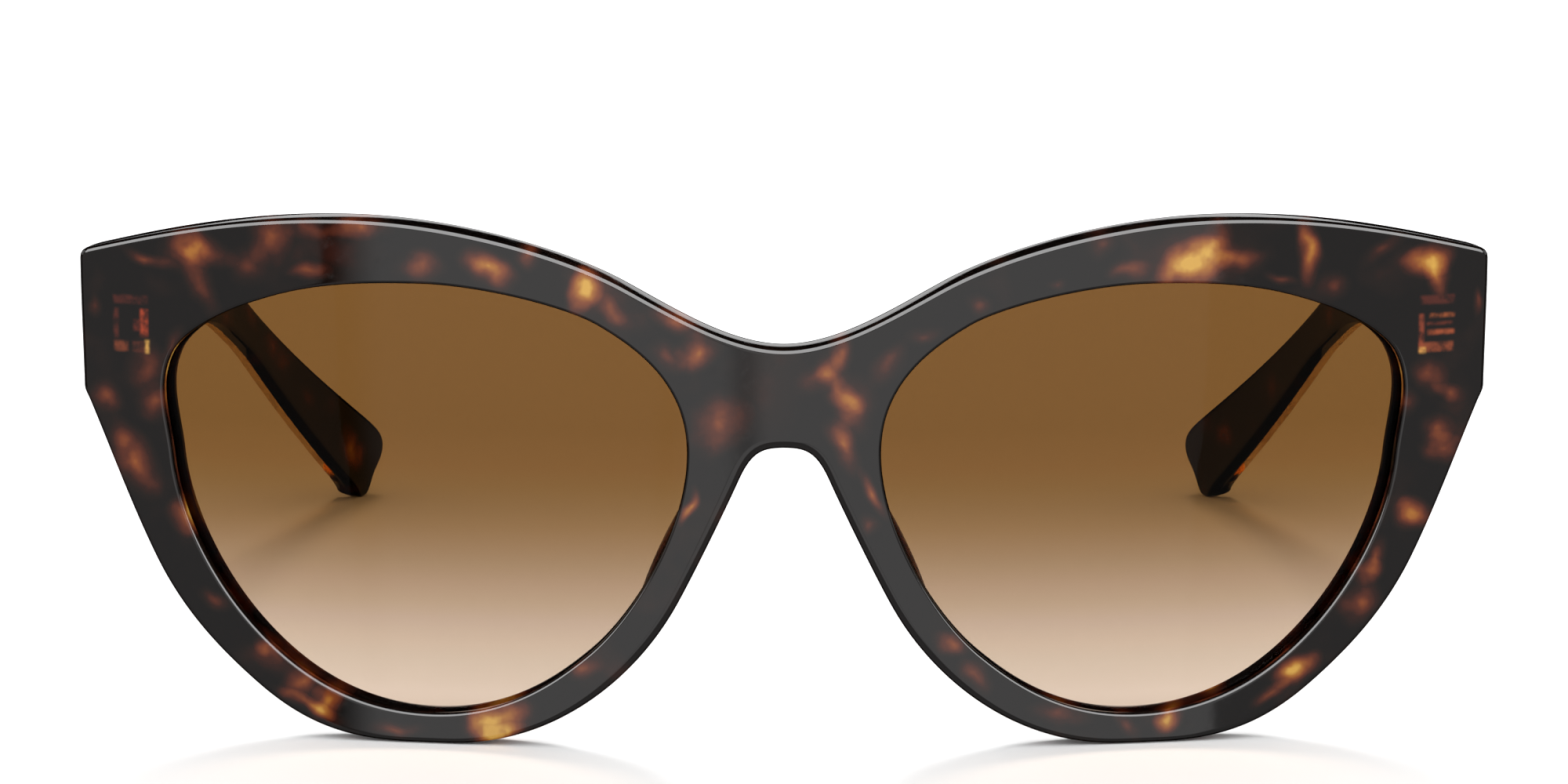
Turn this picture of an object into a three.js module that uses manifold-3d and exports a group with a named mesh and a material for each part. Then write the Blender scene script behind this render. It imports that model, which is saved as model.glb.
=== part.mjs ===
// Cat-eye sunglasses: a bent acetate front, two tinted lenses and two laminated temples.
// Millimetres. +X is the wearer's left, +Y runs back to the ears, +Z is up, and the front faces -Y.
// The temples are open, and the glasses stand on the two lower rims and the two temple tips (z = 0).

import * as THREE from 'three';
import { mergeVertices } from 'three/addons/utils/BufferGeometryUtils.js';
import { TessellateModifier } from 'three/addons/modifiers/TessellateModifier.js';
import Module from 'manifold-3d';

const wasm = await Module();
wasm.setup();

// ---- Driving dimensions ----

const GAP = 0.3;                 // clearance kept between touching pieces
const MERGE = 1e-4;              // vertices closer than this are one vertex
const SLIVER = 0.04;             // cut faces are simplified by up to this, which removes slivers
const LONG_EDGE = 13;            // flat faces are split to this edge length before they are bent
const FRONT_STEP = 3;            // spacing of points along the front's outline
const LENS_STEP = 4;             // spacing of points around a lens opening
const TEMPLE_STEP = 5;           // spacing of points along the temple's outline
const BACK_SIDES = 240;          // sides of the cylinder that shapes what lies behind the front
const PAST = 10;                 // how far a cutting block runs past what it cuts
const QUARTER = 1 - Math.SQRT1_2;   // inset of a quarter round at its middle, for a radius of 1

const FRONT_RADIUS = 220;        // curve of the outside face of the front, about a vertical axis
const FRONT_THICKNESS = 4.2;
const FRONT_HEIGHT = 54.65;
const FRONT_ROUND = 0.6;         // rounded edges of the front
const GROOVE_FRONT = 1.0;        // depth at which the lens groove starts
const GROOVE_BACK = 3.4;         // depth at which the lens groove ends
const GROOVE_DEEP = 0.9;         // how far the groove goes into the rim

const LENS_OVERLAP = 0.5;        // how far the lens edge stands in the groove
const LENS_CROWN = 0.7;          // how far the middle of a lens stands forward of its edge
const LENS_RINGS = [0.3, 0.6, 0.82, 1];   // sizes of the rings that a lens is built from, middle first

const TEMPLE_START = 14;         // y of the temple blank's front end, before its butt is cut
const TEMPLE_INNER_X = 67.8;     // x of the temple's inner face at its front end
const TEMPLE_TAPER = 0.0235;     // inward lean of the straight part
const TEMPLE_BOW_START = 65;     // y where the temple starts to bow inward
const TEMPLE_BOW = 0.0032;       // inward bow per square millimetre
const INNER_LAYER = 2.5;         // thickness of the dark layer at the hinge
const TIP_SHARE = 0.6;           // share of that thickness left at the tip
const THINNING = { start: 48, end: 85 };   // where, along y, the dark layer gets thinner
const OUTER_LAYER = 1.2;         // thickness of the clear outer layer
const INNER_ROUND = 0.7;         // rounded edges of the dark layer
const OUTER_ROUND = 1.0;         // rounded edges of the clear layer
const TIP_HEADING = -39;         // direction of the lower edge at the tip, degrees
const BUTT_GAP = 0.35;           // clearance between an open temple's butt and the front
const RECESS_GAP = 0.45;         // clearance above and below the hinge in the temple's recess

const HINGE = { x: 66.3, y: 16.75, z: 42.6 };
const BARREL = { radius: 1.5, bore: 0.9, height: 0.96, pitch: 1.25, count: 5, sides: 20, boreSides: 16 };
const FRONT_LEVELS = [0, 2, 4];
const TEMPLE_LEVELS = [1, 3];
const SCREW = { radius: 0.6, headRadius: 1.1, headHeight: 0.5, slot: 0.35 };
const FRONT_LEAF = { x: 67.6, y: 13.8, width: 3.6, depth: 1.8, height: 6 };
const TEMPLE_LEAF = { inner: 67.2, outer: 68.9, start: 18.8, end: 28, height: 5.8 };
const ARM_WIDTH = 1.6;
const ARM_ROOT = 0.5;            // how far a barrel's arm runs into its leaf
const RECESS_DEEP = 3;           // how far the temple's recess runs inward of the hinge line

const WIRE = { radius: 0.45, groove: 0.75, depth: 2.0, sides: 8, steps: 22 };

// The middle line of the stiffening wire, [y, z].
const WIRE_ROUTE = [
  [30, 41.6], [50, 38.8], [70, 35.9], [86, 33], [98, 29], [108, 23.3], [118, 16.4], [126.5, 10.3],
];

// The clear layer is cut square to its lower edge, at these distances before the tip's lowest corner.
const TIP_CORNER_Y = 134.5;
const OUTER_CUTS = {
  temple_sheet: [5.2, 160],
  trim_ring_upper: [4.4, 4.9],
  trim_spacer: [3.3, 4.1],
  trim_ring_lower: [2.5, 3.0],
  tip_block: [0.3, 2.2],
};
const CUT_CLEAR = 0.3;           // the outline's own points nearer to a cut than this are left out

const PAD = { x: 10.4, y: 4.2, z: 20, halfWidth: 1.9, halfDepth: 5.2, halfHeight: 11.5, lean: 26, flare: 14 };
const PAD_SIDES = { round: 20, tall: 14 };

// ---- Outlines ----
// A knot is [across, up, heading in degrees, reach before, reach after]; a cubic joins each pair.

// Half of the front, from the top of the bridge over the brow and back under the nose.
const FRONT_KNOTS = [
  [0, 41.9, 0, 0, 5.5],
  [16.5, 48.3, 28, 6, 7],
  [45, FRONT_HEIGHT, 0, 11, 10],
  [73.2, 50.5, -14.5, 10, 0.7],
  [74.3, 49.3, -90, 0.7, 4],
  [74, 35.9, -91, 4, 0.5],
  [73.4, 34.4, -114, 0.5, 6],
  [66.3, 18.5, -117, 6, 6],
  [55.2, 5.5, -141, 6, 6],
  [39, 0, 180, 7, 1],
  [35, 0, 180, 1, 11],
  [10.95, 15.1, 118.5, 9.2, 3.7],
  [4.6, 28.1, 114, 3.6, 3.2],
  [0, 31.5, 180, 2.3, 0],
];

// The lens opening on the +X side, from its top over the nose side and round.
const OPENING_KNOTS = [
  [37.5, 48.1, 180, 9.3, 6.3],
  [19.1, 44.2, 210, 3.8, 4.8],
  [9.95, 31, 270, 7.2, 8],
  [20.3, 9.7, 320, 6.1, 4.3],
  [36.5, 3.15, 0, 7.9, 8.6],
  [55.8, 12, 47, 6.8, 6.2],
  [64.1, 29, 84, 6, 4],
  [64.1, 39.9, 118, 4, 2.5],
  [55.9, 45.35, 160, 3, 5.3],
];

// The temple seen from the side, across = y: lower edge, paddle tip, upper edge.
const TEMPLE_KNOTS = [
  [TEMPLE_START, 36.9, -6, 0, 20],
  [84, 29.6, -7, 20, 6],
  [99, 25.7, -27, 6, 4],
  [108, 20.5, -36, 4, 8],
  [132.8, 1.2, TIP_HEADING, 8, 0.8],
  [134.1, 0, 0, 0.7, 0.3],
  [134.8, 0, 0, 0.3, 0.9],
  [137, 2.1, 50, 1.3, 1.2],
  [139.2, 5.4, 92, 1.5, 1.2],
  [137, 8.2, 143, 1.5, 4],
  [104, 28.5, 148.5, 8, 6],
  [86, 36.2, 167, 7, 20],
  [TEMPLE_START, 50.2, 169.5, 20, 0],
];

function headingVector(knot, reach) {
  const angle = THREE.MathUtils.degToRad(knot[2]);
  return new THREE.Vector2(Math.cos(angle), Math.sin(angle)).multiplyScalar(reach);
}

// Points along the cubics that join the knots, evenly spaced, without the last knot.
function outline(knots, step, closed) {
  const points = [];
  const last = closed ? knots.length : knots.length - 1;
  for (let i = 0; i < last; i += 1) {
    const from = knots[i];
    const to = knots[(i + 1) % knots.length];
    const start = new THREE.Vector2(from[0], from[1]);
    const end = new THREE.Vector2(to[0], to[1]);
    const curve = new THREE.CubicBezierCurve(
      start,
      start.clone().add(headingVector(from, from[4])),
      end.clone().sub(headingVector(to, to[3])),
      end,
    );
    const pieces = Math.max(1, Math.round(curve.getLength() / step));
    points.push(...curve.getSpacedPoints(pieces).slice(0, -1));
  }
  return points;
}

// The whole front outline: the half and its mirror image, in one closed loop.
function frontOutline() {
  const half = outline(FRONT_KNOTS, FRONT_STEP, false);
  const end = FRONT_KNOTS.at(-1);
  half.push(new THREE.Vector2(end[0], end[1]));
  const mirror = half.slice(1, -1).map((p) => new THREE.Vector2(-p.x, p.y)).reverse();
  return [...half, ...mirror];
}

function flipped(points) {
  return points.map((p) => new THREE.Vector2(-p.x, p.y)).reverse();
}

// The inward direction at each point of a loop, whichever way it runs.
function inwardDirections(points) {
  const side = THREE.ShapeUtils.area(points) > 0 ? 1 : -1;
  return points.map((_, i) => {
    const before = points[(i + points.length - 1) % points.length];
    const after = points[(i + 1) % points.length];
    const along = after.clone().sub(before).normalize();
    return new THREE.Vector2(-along.y, along.x).multiplyScalar(side);
  });
}

// The loop moved sideways by a distance: inward for positive values.
function inset(points, distance, directions = inwardDirections(points)) {
  return points.map((point, i) => point.clone().addScaledVector(directions[i], distance));
}

// ---- Solids ----

function geometryFrom(corners, triangles) {
  const geometry = new THREE.BufferGeometry();
  geometry.setAttribute('position', new THREE.Float32BufferAttribute(corners, 3));
  geometry.setIndex(triangles);
  return geometry;
}

// A plate in flat space (across, depth, up): loops at several depths, capped at the first and last.
// edge and rim list [depth, inset] for the outline and for the holes. An outline that comes with its own
// inward directions runs anticlockwise.
function plate(shape, holes, edge, rim, directions) {
  const corners = [];
  const triangles = [];
  const addLoop = (loop, depth) => {
    const first = corners.length / 3;
    loop.forEach((p) => corners.push(p.x, depth, p.y));
    return loop.map((_, i) => first + i);
  };
  const addWall = (loop, levels, inward) => {
    const rings = levels.map(([depth, move]) => addLoop(inset(loop, move, inward), depth));
    for (let k = 1; k < rings.length; k += 1) {
      const upper = rings[k - 1];
      const lower = rings[k];
      loop.forEach((_, i) => {
        const j = (i + 1) % loop.length;
        triangles.push(upper[i], lower[j], upper[j], upper[i], lower[i], lower[j]);
      });
    }
    return rings;
  };
  const anticlockwise = THREE.ShapeUtils.area(shape) > 0 ? shape : shape.slice().reverse();
  const clockwise = holes.map((hole) => (THREE.ShapeUtils.area(hole) < 0 ? hole : hole.slice().reverse()));
  const walls = [addWall(anticlockwise, edge, directions), ...clockwise.map((hole) => addWall(hole, rim))];
  const holeCopies = clockwise.map((hole) => hole.slice());
  const faces = THREE.ShapeUtils.triangulateShape(anticlockwise.slice(), holeCopies);
  const front = walls.flatMap((rings) => rings[0]);
  const back = walls.flatMap((rings) => rings.at(-1));
  faces.forEach(([a, b, c]) => {
    triangles.push(front[a], front[b], front[c]);
    triangles.push(back[a], back[c], back[b]);
  });
  return geometryFrom(corners, triangles);
}

// Splits long edges, then moves every vertex of a flat solid to its place on the bent part.
function bend(geometry, place) {
  const fine = mergeVertices(new TessellateModifier(LONG_EDGE, 8).modify(geometry), MERGE);
  const position = fine.getAttribute('position');
  const spot = new THREE.Vector3();
  for (let i = 0; i < position.count; i += 1) {
    spot.fromBufferAttribute(position, i);
    const { x, y, z } = place(spot);
    position.setXYZ(i, x, y, z);
  }
  return fine;
}

function solid(geometry) {
  const bare = geometry.clone();
  bare.deleteAttribute('normal');
  bare.deleteAttribute('uv');
  const merged = mergeVertices(bare, MERGE);
  return new wasm.Manifold(new wasm.Mesh({
    numProp: 3,
    vertProperties: new Float32Array(merged.getAttribute('position').array),
    triVerts: new Uint32Array(merged.getIndex().array),
  }));
}

function geometryOf(body) {
  const mesh = body.simplify(SLIVER).getMesh();
  return geometryFrom(Array.from(mesh.vertProperties), Array.from(mesh.triVerts));
}

function box(x0, x1, y0, y1, z0, z1) {
  const shape = new THREE.BoxGeometry(x1 - x0, y1 - y0, z1 - z0);
  return solid(shape.translate((x0 + x1) / 2, (y0 + y1) / 2, (z0 + z1) / 2));
}

function post(radius, sides, x, y, z0, z1) {
  const shape = new THREE.CylinderGeometry(radius, radius, z1 - z0, sides);
  return solid(shape.rotateX(Math.PI / 2).translate(x, y, (z0 + z1) / 2));
}

function turnedOver(geometry) {
  const index = geometry.getIndex();
  for (let i = 0; i < index.count; i += 3) {
    const second = index.getX(i + 1);
    index.setX(i + 1, index.getX(i + 2));
    index.setX(i + 2, second);
  }
  return geometry;
}

function mirrored(geometry) {
  return turnedOver(geometry.clone().scale(-1, 1, 1));
}

// ---- The bent front and what sits in it ----

// across = arc length from the centre line, depth = behind the outside face.
function onFront({ x: across, y: depth, z: up }) {
  const angle = across / FRONT_RADIUS;
  const radius = FRONT_RADIUS - depth;
  return { x: radius * Math.sin(angle), y: FRONT_RADIUS - radius * Math.cos(angle), z: up };
}

// Everything behind the front's inner face, less a clearance.
function behindFront(clearance) {
  const radius = FRONT_RADIUS - FRONT_THICKNESS - clearance;
  return post(radius, BACK_SIDES, 0, FRONT_RADIUS, -PAST, FRONT_HEIGHT + PAST);
}

function roundedEdge(near, far, round) {
  const soft = QUARTER * round;
  return [
    [near, round], [near + soft, soft], [near + round, 0],
    [far - round, 0], [far - soft, soft], [far, round],
  ];
}

function frontGeometry() {
  const opening = outline(OPENING_KNOTS, LENS_STEP, true);
  const edge = roundedEdge(0, FRONT_THICKNESS, FRONT_ROUND);
  const rim = [
    [0, -FRONT_ROUND], [FRONT_ROUND, 0], [GROOVE_FRONT, 0], [GROOVE_FRONT, -GROOVE_DEEP],
    [GROOVE_BACK, -GROOVE_DEEP], [GROOVE_BACK, 0], [FRONT_THICKNESS, -FRONT_ROUND / 2],
  ];
  const flat = plate(frontOutline(), [opening, flipped(opening)], edge, rim);
  const pocket = box(
    FRONT_LEAF.x - FRONT_LEAF.width / 2 - GAP, FRONT_LEAF.x + FRONT_LEAF.width / 2 + GAP,
    FRONT_LEAF.y - FRONT_LEAF.depth / 2 - GAP, FRONT_LEAF.y + PAST,
    HINGE.z - FRONT_LEAF.height / 2 - GAP, HINGE.z + FRONT_LEAF.height / 2 + GAP,
  );
  const otherPocket = solid(mirrored(geometryOf(pocket)));
  return geometryOf(solid(bend(flat, onFront)).subtract(pocket).subtract(otherPocket));
}

// A lens: rings drawn in towards its middle, domed forward, on both faces.
function lensGeometry() {
  const loop = inset(outline(OPENING_KNOTS, LENS_STEP, true), -LENS_OVERLAP);
  const middle = new THREE.Vector2();
  loop.forEach((p) => middle.addScaledVector(p, 1 / loop.length));
  const corners = [];
  const triangles = [];
  const near = GROOVE_FRONT + GAP;
  const far = GROOVE_BACK - GAP;
  const back = LENS_RINGS.map((scale) => [scale, far]).reverse();
  const rows = [...LENS_RINGS.map((scale) => [scale, near]), ...back];
  rows.forEach(([scale, depth]) => {
    const dome = LENS_CROWN * (1 - scale * scale);
    loop.forEach((p) => {
      const spot = p.clone().sub(middle).multiplyScalar(scale).add(middle);
      corners.push(spot.x, depth - dome, spot.y);
    });
  });
  corners.push(middle.x, near - LENS_CROWN, middle.y, middle.x, far - LENS_CROWN, middle.y);
  const count = loop.length;
  const nearMiddle = rows.length * count;
  const lastRow = (rows.length - 1) * count;
  for (let i = 0; i < count; i += 1) {
    const j = (i + 1) % count;
    for (let row = 0; row < rows.length - 1; row += 1) {
      const a = row * count;
      triangles.push(a + i, a + count + i, a + count + j, a + i, a + count + j, a + j);
    }
    triangles.push(nearMiddle, i, j, nearMiddle + 1, lastRow + j, lastRow + i);
  }
  return bend(geometryFrom(corners, triangles), onFront);
}

// A bonded pad: a leaning oval, cut to the curve of the front's inner face.
function nosePadGeometry() {
  const oval = new THREE.SphereGeometry(1, PAD_SIDES.round, PAD_SIDES.tall);
  oval.scale(PAD.halfWidth, PAD.halfDepth, PAD.halfHeight);
  oval.rotateZ(THREE.MathUtils.degToRad(-PAD.flare));
  oval.rotateY(THREE.MathUtils.degToRad(-PAD.lean));
  oval.translate(PAD.x, PAD.y, PAD.z);
  return geometryOf(solid(oval).intersect(behindFront(GAP)));
}

// ---- Hinges ----

function barrelLevel(k) {
  return HINGE.z + (k - (BARREL.count - 1) / 2) * BARREL.pitch;
}

// Barrels at some of the levels, each with an arm that runs to the leaf.
function barrels(levels, arm) {
  return levels.map((k) => {
    const z0 = barrelLevel(k) - BARREL.height / 2;
    const z1 = barrelLevel(k) + BARREL.height / 2;
    const barrel = post(BARREL.radius, BARREL.sides, HINGE.x, HINGE.y, z0, z1);
    return barrel.add(box(arm.x0, arm.x1, arm.y0, arm.y1, z0, z1));
  });
}

function joined(bodies) {
  return bodies.reduce((whole, next) => whole.add(next));
}

function bored(body) {
  const drill = post(BARREL.bore, BARREL.boreSides, HINGE.x, HINGE.y, HINGE.z - PAST, HINGE.z + PAST);
  return body.subtract(drill);
}

function frontHingeGeometry() {
  const back = FRONT_LEAF.y + FRONT_LEAF.depth / 2;
  const leaf = box(
    FRONT_LEAF.x - FRONT_LEAF.width / 2, FRONT_LEAF.x + FRONT_LEAF.width / 2,
    FRONT_LEAF.y - FRONT_LEAF.depth / 2, back,
    HINGE.z - FRONT_LEAF.height / 2, HINGE.z + FRONT_LEAF.height / 2,
  );
  const arm = { x0: HINGE.x - ARM_WIDTH / 2, x1: HINGE.x + ARM_WIDTH / 2, y0: back - ARM_ROOT, y1: HINGE.y };
  return geometryOf(bored(joined([leaf, ...barrels(FRONT_LEVELS, arm)])));
}

function templeHingeGeometry() {
  const half = TEMPLE_LEAF.height / 2;
  const leaf = box(
    TEMPLE_LEAF.inner, TEMPLE_LEAF.outer, TEMPLE_LEAF.start, TEMPLE_LEAF.end,
    HINGE.z - half, HINGE.z + half,
  );
  const arm = {
    x0: HINGE.x, x1: TEMPLE_LEAF.outer - ARM_ROOT,
    y0: HINGE.y, y1: TEMPLE_LEAF.start + ARM_ROOT,
  };
  return geometryOf(bored(joined([leaf, ...barrels(TEMPLE_LEVELS, arm)])));
}

function hingeScrewGeometry() {
  const bottom = barrelLevel(0) - BARREL.height / 2;
  const top = barrelLevel(BARREL.count - 1) + BARREL.height / 2 + GAP;
  const head = top + SCREW.headHeight;
  const shaft = post(SCREW.radius, BARREL.boreSides, HINGE.x, HINGE.y, bottom, top + SCREW.headHeight / 2);
  const cap = post(SCREW.headRadius, BARREL.sides, HINGE.x, HINGE.y, top, head);
  const slot = box(
    HINGE.x - PAST, HINGE.x + PAST, HINGE.y - SCREW.slot / 2, HINGE.y + SCREW.slot / 2,
    head - SCREW.headHeight / 2, head + PAST,
  );
  return geometryOf(shaft.add(cap).subtract(slot));
}

// ---- Temples ----

function templeInner(y) {
  const bow = Math.max(0, y - TEMPLE_BOW_START);
  return TEMPLE_INNER_X - TEMPLE_TAPER * (y - TEMPLE_START) - TEMPLE_BOW * bow * bow;
}

// across = y along the temple, depth = out from its inner face, square to the face, before the thinning.
function onTemple({ x: along, y: depth, z: up }) {
  const slope = TEMPLE_TAPER + 2 * TEMPLE_BOW * Math.max(0, along - TEMPLE_BOW_START);
  const turn = Math.atan(slope);
  const thinned = (1 - TIP_SHARE) * THREE.MathUtils.smoothstep(along, THINNING.start, THINNING.end);
  const out = depth - thinned * Math.min(depth, INNER_LAYER);
  return { x: templeInner(along) + out * Math.cos(turn), y: along + out * Math.sin(turn), z: up };
}

// onTemple swaps two axes, so the triangles are turned over to face out again.
function templeLayer(points, edge, directions) {
  const flat = plate(points, [], edge, [], directions);
  return solid(turnedOver(bend(flat, onTemple))).intersect(behindFront(BUTT_GAP));
}

// How far a point of the side view lies before the tip's lowest corner, measured along the tip.
function beforeTip(point) {
  const along = headingVector([0, 0, TIP_HEADING], 1);
  return (TIP_CORNER_Y - point.x) * along.x - point.y * along.y;
}

// The stretch of a loop between two cuts square to the tip, with the whole loop's inward directions.
function between(loop, low, high) {
  const inward = inwardDirections(loop);
  const points = [];
  const directions = [];
  loop.forEach((point, i) => {
    const j = (i + 1) % loop.length;
    const here = beforeTip(point);
    const next = beforeTip(loop[j]);
    if (here > low + CUT_CLEAR && here < high - CUT_CLEAR) {
      points.push(point);
      directions.push(inward[i]);
    }
    const crossings = [low, high].map((level) => (level - here) / (next - here));
    crossings.filter((t) => t > 0 && t < 1).sort((a, b) => a - b).forEach((t) => {
      points.push(point.clone().lerp(loop[j], t));
      directions.push(inward[i].clone().lerp(inward[j], t).normalize());
    });
  });
  return { points, directions };
}

// The stiffening wire's curve, on the outer side of the dark layer, made longer at both ends by extra.
function wireCurve(extra) {
  const route = WIRE_ROUTE.map(([y, z]) => [y, z]);
  route[0][0] -= extra;
  route.at(-1)[0] += extra;
  route.at(-1)[1] -= extra;
  const points = route.map(([y, z]) => {
    const spot = onTemple({ x: y, y: WIRE.depth, z });
    return new THREE.Vector3(spot.x, spot.y, spot.z);
  });
  return new THREE.CatmullRomCurve3(points, false, 'centripetal');
}

function rod(curve, radius) {
  const section = new THREE.Shape();
  for (let i = 0; i < WIRE.sides; i += 1) {
    const angle = (2 * Math.PI * i) / WIRE.sides;
    const x = radius * Math.cos(angle);
    const y = radius * Math.sin(angle);
    if (i === 0) section.moveTo(x, y);
    else section.lineTo(x, y);
  }
  section.closePath();
  return new THREE.ExtrudeGeometry(section, { steps: WIRE.steps, extrudePath: curve, bevelEnabled: false });
}

function coreWireGeometry() {
  return geometryOf(solid(rod(wireCurve(0), WIRE.radius)));
}

function templeGeometry() {
  const soft = QUARTER * INNER_ROUND;
  const edge = [[0, INNER_ROUND], [soft, soft], [INNER_ROUND, 0], [INNER_LAYER, 0]];
  const half = TEMPLE_LEAF.height / 2 + RECESS_GAP;
  const recess = box(
    HINGE.x - RECESS_DEEP, TEMPLE_LEAF.outer + GAP, TEMPLE_START - PAST, TEMPLE_LEAF.end + GAP,
    HINGE.z - half, HINGE.z + half,
  );
  const groove = solid(rod(wireCurve(GAP), WIRE.groove));
  const layer = templeLayer(outline(TEMPLE_KNOTS, TEMPLE_STEP, true), edge);
  return geometryOf(layer.subtract(recess).subtract(groove));
}

// The clear layer in its pieces: the long sheet, two rings with a spacer between them, and an end block.
function outerPieces() {
  const near = INNER_LAYER + GAP;
  const far = near + OUTER_LAYER;
  const soft = QUARTER * OUTER_ROUND;
  const edge = [[near, 0], [far - OUTER_ROUND, 0], [far - soft, soft], [far, OUTER_ROUND]];
  const loop = outline(TEMPLE_KNOTS, TEMPLE_STEP, true);
  return Object.entries(OUTER_CUTS).map(([name, [low, high]]) => {
    const { points, directions } = between(loop, low, high);
    return [name, geometryOf(templeLayer(points, edge, directions))];
  });
}

// ---- Materials ----

function finish(color, roughness, metalness, opacity = 1) {
  return new THREE.MeshStandardMaterial({ color, roughness, metalness, opacity, transparent: opacity < 1 });
}

const FINISHES = {
  tortoise: () => finish(0x2e211b, 0.12, 0),
  lens: () => finish(0xa87a4c, 0.05, 0, 0.6),
  clear: () => finish(0xb08a58, 0.12, 0, 0.5),
  gold: () => finish(0xd6b36a, 0.25, 1),
  steel: () => finish(0xb9b4aa, 0.35, 1),
};

// ---- Assembly ----

const glasses = new THREE.Group();

function add(name, geometry, look) {
  const mesh = new THREE.Mesh(geometry, FINISHES[look]());
  mesh.name = name;
  glasses.add(mesh);
}

function addPair(name, geometry, look) {
  add(`${name}_left`, geometry, look);
  add(`${name}_right`, mirrored(geometry), look);
}

add('front', frontGeometry(), 'tortoise');
addPair('lens', lensGeometry(), 'lens');
addPair('nose_pad', nosePadGeometry(), 'tortoise');
addPair('front_hinge', frontHingeGeometry(), 'steel');
addPair('temple_hinge', templeHingeGeometry(), 'steel');
addPair('hinge_screw', hingeScrewGeometry(), 'steel');
addPair('temple', templeGeometry(), 'tortoise');
addPair('core_wire', coreWireGeometry(), 'gold');

const OUTER_LOOKS = { temple_sheet: 'clear', trim_spacer: 'clear', tip_block: 'tortoise' };
outerPieces().forEach(([name, geometry]) => addPair(name, geometry, OUTER_LOOKS[name] ?? 'gold'));

// The origin is the middle of the footprint, on the surface that the glasses stand on.
const extent = new THREE.Box3().setFromObject(glasses);
glasses.position.y = -(extent.min.y + extent.max.y) / 2;

export default glasses;
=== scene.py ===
"""Looks of the cat-eye sunglasses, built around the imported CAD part.

Shapes are worked out in millimetres in the design frame of the part: the middle of the front's outside
face is at y = 0, +Z is up, and the glasses stand on z = 0. to_row() turns that into metres in the row frame.
"""

import math

import bmesh
import bpy
from mathutils import Matrix, Vector
from mathutils.geometry import delaunay_2d_cdt


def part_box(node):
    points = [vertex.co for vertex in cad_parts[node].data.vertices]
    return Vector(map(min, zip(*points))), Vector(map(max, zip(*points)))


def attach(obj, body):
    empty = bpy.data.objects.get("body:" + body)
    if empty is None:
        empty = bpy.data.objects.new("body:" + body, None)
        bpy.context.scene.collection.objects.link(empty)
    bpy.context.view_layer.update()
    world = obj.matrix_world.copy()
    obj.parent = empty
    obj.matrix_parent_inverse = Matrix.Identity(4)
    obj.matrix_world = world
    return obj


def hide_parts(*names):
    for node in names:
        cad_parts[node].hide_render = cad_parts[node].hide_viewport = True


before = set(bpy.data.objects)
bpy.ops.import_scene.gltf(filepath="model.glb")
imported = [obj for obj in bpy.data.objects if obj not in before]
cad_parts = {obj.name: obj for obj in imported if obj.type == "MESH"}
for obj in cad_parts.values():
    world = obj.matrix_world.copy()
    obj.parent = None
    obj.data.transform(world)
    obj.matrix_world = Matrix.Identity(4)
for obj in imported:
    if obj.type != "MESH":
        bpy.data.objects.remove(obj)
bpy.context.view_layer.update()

MM = 0.001
FRONT_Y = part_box("front")[0].y / MM   # where the design frame's y = 0 lies in the row frame
SIDES = {"left": 1, "right": -1}       # the wearer's left is +X

# ---- Driving dimensions, as in the CAD ----

GAP = 0.3                              # between bonded pieces, and around each lens in its groove
BOND = 0.02                            # between fine pieces that touch in the real object
FRONT_RADIUS = 220.0                   # of the front's bend, at its outside face
FRONT_THICKNESS = 4.2
FRONT_ROUND = 0.6
FRONT_CROWN = 0.03                     # how far the middle of the front's outer wall stands out
WITHIN = 0.01                          # the fine outer walls stay this far inside the CAD's
RIM_ROUND = 0.35                       # front edge of the lens openings
NOSE_ROUND_SHARE = 1.6                 # the nose cutout's edges are this much rounder
NOSE_SIDES = (14, 26)                  # where that extra roundness fades out sideways
NOSE_TOP = (31, 36)                    # and upward
GROOVE_FRONT = 1.0
GROOVE_BACK = 3.4
GROOVE_DEEP = 0.9
LENS_OVERLAP = 0.5
LENS_CROWN = 0.7

TEMPLE_START = 14.0
TEMPLE_INNER_X = 67.8
TEMPLE_TAPER = 0.0235                  # inward, for each mm along the temple
TEMPLE_BOW_START = 65.0
TEMPLE_BOW = 0.0032
INNER_LAYER = 2.5
TIP_SHARE = 0.6                        # the inner layer thins to this share
THINNING = (48.0, 85.0)                # along the temple
OUTER_LAYER = 1.2
INNER_ROUND = 0.7
BONDED_ROUND = INNER_ROUND / 4         # the inner layer's edge against the outer one
OUTER_ROUND = 1.0
TIP_HEADING = math.radians(-39)
TIP_CORNER_Y = 134.5                   # the tip's tight lower corner
TIP_CORNER_SHARE = 0.4                 # edges at that corner get this share of their roundness
TIP_CORNER_REACH = (1, 5)              # distances from it over which that fades out
BUTT_GAP = 0.35
BUTT_TRIM = 1.4                        # the least that the front's curve takes off the temple's end
RECESS_GAP = 0.45
RECESS_DEEP = 3.0
PAD = {"x": 10.4, "y": 4.2, "z": 20.0, "size": (1.9, 5.2, 11.5), "lean": 26.0, "flare": 14.0}
PAST = 5.0                             # how far a cutting solid reaches past what it cuts
FAR = 200.0                            # further than any part of the glasses
CYLINDER_MIDDLE = 30.0                 # half the glasses' height, about
CYLINDER_HALF = 60.0                   # well past their top and bottom

HINGE = Vector((66.3, 16.75, 42.6))
TEMPLE_LEAF = {"outer": 68.9, "end": 28.0, "height": 5.8}
FRONT_LEAF = {"x": 67.6, "y": 13.8, "width": 3.6, "depth": 1.8, "height": 6.0}

# Distances before the tip's corner, along the tip, where each piece of the outer layer starts and ends.
OUTER_CUTS = {
    "temple_sheet": (5.05, 160.0),
    "trim_ring_upper": (4.35, 4.95),
    "trim_spacer": (3.15, 4.25),
    "trim_ring_lower": (2.45, 3.05),
    "tip_block": (0.3, 2.35),
}

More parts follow.
